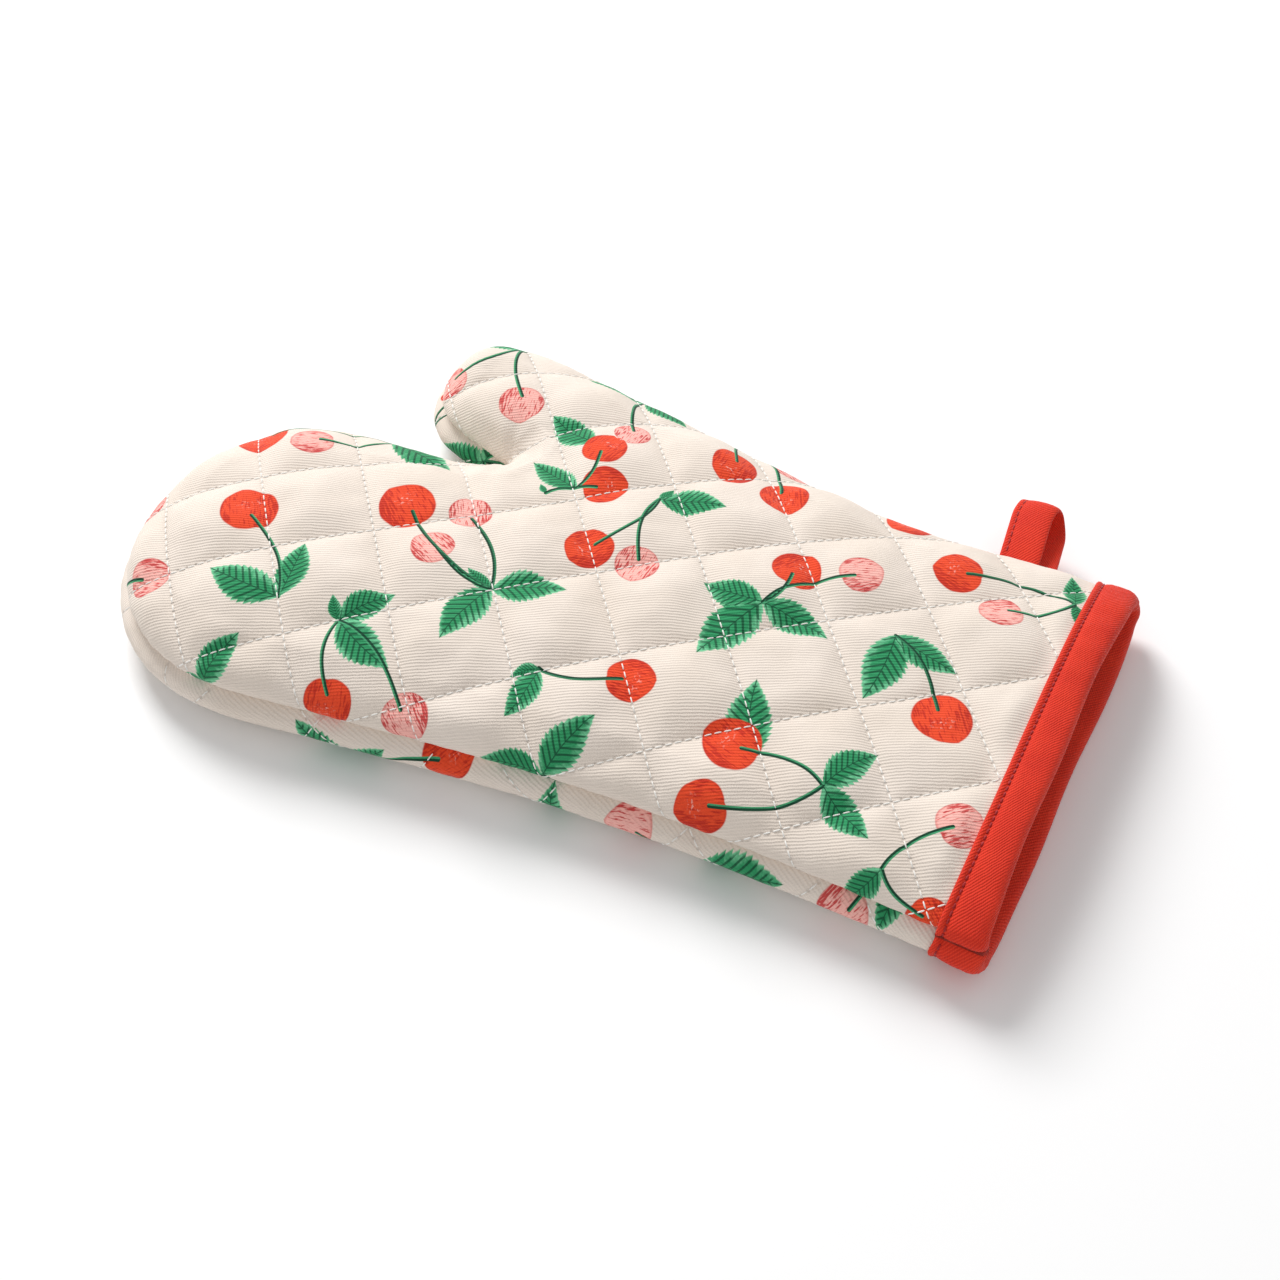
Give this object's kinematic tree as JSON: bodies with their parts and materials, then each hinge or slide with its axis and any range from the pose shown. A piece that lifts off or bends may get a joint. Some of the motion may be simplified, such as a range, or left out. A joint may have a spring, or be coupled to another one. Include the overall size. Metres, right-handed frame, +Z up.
{
  "type": "oven mitt",
  "caption": "Quilted cotton oven mitt with a thumb, a bound cuff and a hanging loop at the side seam; fingers and thumb fold towards the palm.",
  "frame": {"origin": "on the surface the mitt rests on, in the middle of the palm's flat patch", "axes": "+X from the fingertips to the cuff, +Y to the thumb side, +Z up from the palm to the back"},
  "size_m": [0.329, 0.2084, 0.0386],
  "materials": {
    "printed_cotton": "cream cotton twill with a cherry and leaf print",
    "lining_cotton": "plain cream cotton",
    "wadding": "needled cotton and polyester wadding",
    "white_thread": "white sewing thread",
    "red_twill": "red cotton twill tape, slight sheen",
    "red_thread": "dark red sewing thread"
  },
  "bodies": {
    "hand": {"back_cover": "printed_cotton", "palm_cover": "printed_cotton", "back_lining": "lining_cotton", "palm_lining": "lining_cotton", "back_wadding": "wadding", "palm_wadding": "wadding", "back_quilting_thread": "white_thread", "palm_quilting_thread": "white_thread", "side_seam_thread": "white_thread", "cuff_binding": "red_twill", "binding_topstitch": "red_thread"},
    "fingers": {"back_wadding_fingers": "wadding", "palm_wadding_fingers": "wadding"},
    "thumb": {"back_wadding_thumb": "wadding", "palm_wadding_thumb": "wadding"},
    "loop": {"hanging_loop": "red_twill", "loop_stitching": "red_thread"}
  },
  "joints": [
    {"name": "finger_fold", "type": "hinge", "parent": "hand", "child": "fingers", "pos_m": [-0.083, -0.032, 0.019], "axis": [0, -1, 0], "range_deg": [-10, 60], "stiffness_Nm_per_rad": 0.3, "deforming": ["back_cover", "palm_cover", "back_lining", "palm_lining", "back_quilting_thread", "palm_quilting_thread", "side_seam_thread"]},
    {"name": "thumb_fold", "type": "hinge", "parent": "hand", "child": "thumb", "pos_m": [-0.07072, 0.047, 0.019], "axis": [-0.6428, -0.766, 0], "range_deg": [-10, 45], "stiffness_Nm_per_rad": 0.15, "deforming": ["back_cover", "palm_cover", "back_lining", "palm_lining", "back_quilting_thread", "palm_quilting_thread", "side_seam_thread"]},
    {"name": "loop_swing", "type": "hinge", "parent": "hand", "child": "loop", "pos_m": [0.124, 0.0869, 0.017], "axis": [1, 0, 0], "range_deg": [-60, 80], "stiffness_Nm_per_rad": 0.01}
  ]
}
